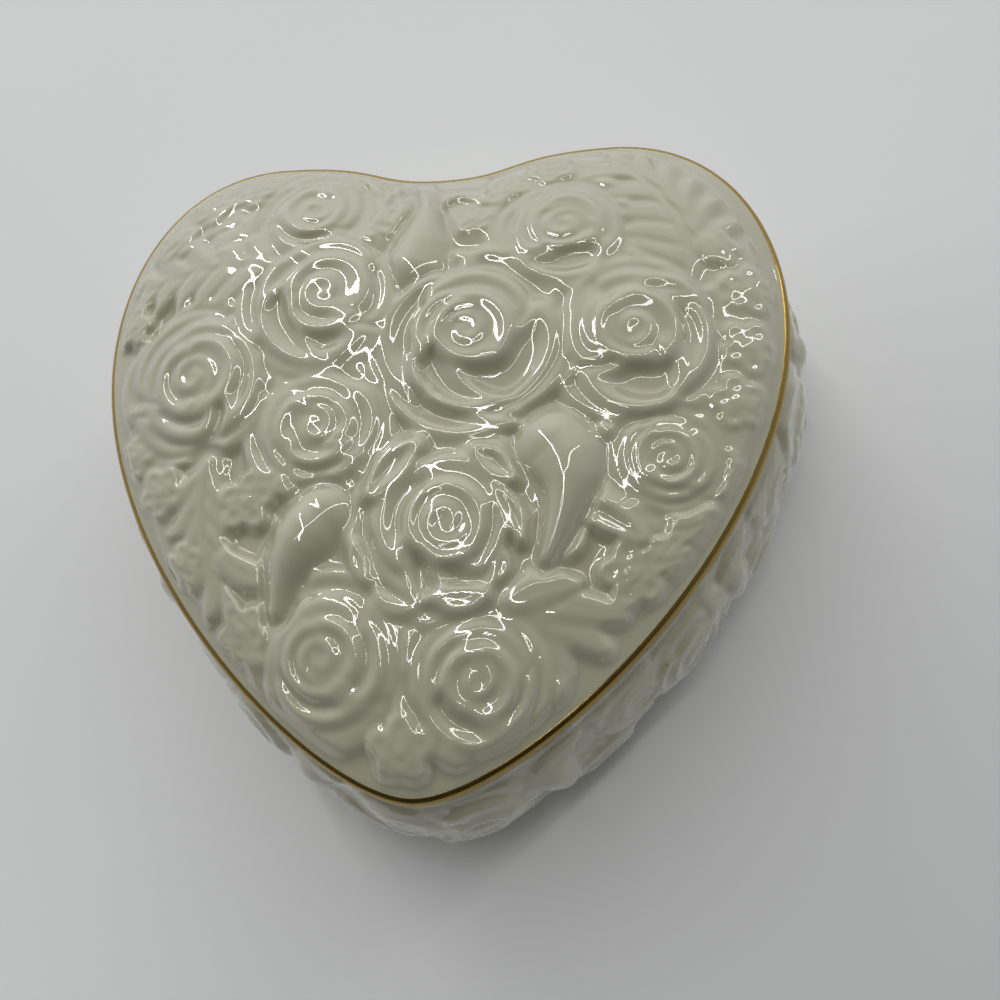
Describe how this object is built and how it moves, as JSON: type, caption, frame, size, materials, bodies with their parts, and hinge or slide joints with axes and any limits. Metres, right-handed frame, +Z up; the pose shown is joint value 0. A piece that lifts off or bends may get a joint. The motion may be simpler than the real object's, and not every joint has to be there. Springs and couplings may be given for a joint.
{
  "type": "heart-shaped trinket box",
  "caption": "Heart-shaped glazed porcelain trinket box covered in raised roses, with a domed lift-off lid, gold-lined edge and footed cup.",
  "frame": {"origin": "on the table under the middle of the heart's plan, at the foot ring's lower face", "axes": "+Z up, +Y towards the heart's notch, -Y towards its tip, +X across the heart"},
  "size_m": [0.1232, 0.1193, 0.0493],
  "materials": {
    "base_glaze": "gloss glaze, ivory",
    "lid_glaze": "gloss glaze, ivory",
    "fired_gold": "burnished gold, fired on"
  },
  "bodies": {
    "base": {"base": "base_glaze"},
    "lid": {"lid": "lid_glaze", "gold_band": "fired_gold"}
  },
  "joints": [
    {"name": "lid_lift", "type": "slide", "parent": "base", "child": "lid", "axis": [0, 0, 1], "range_m": [0, 0.06]}
  ]
}
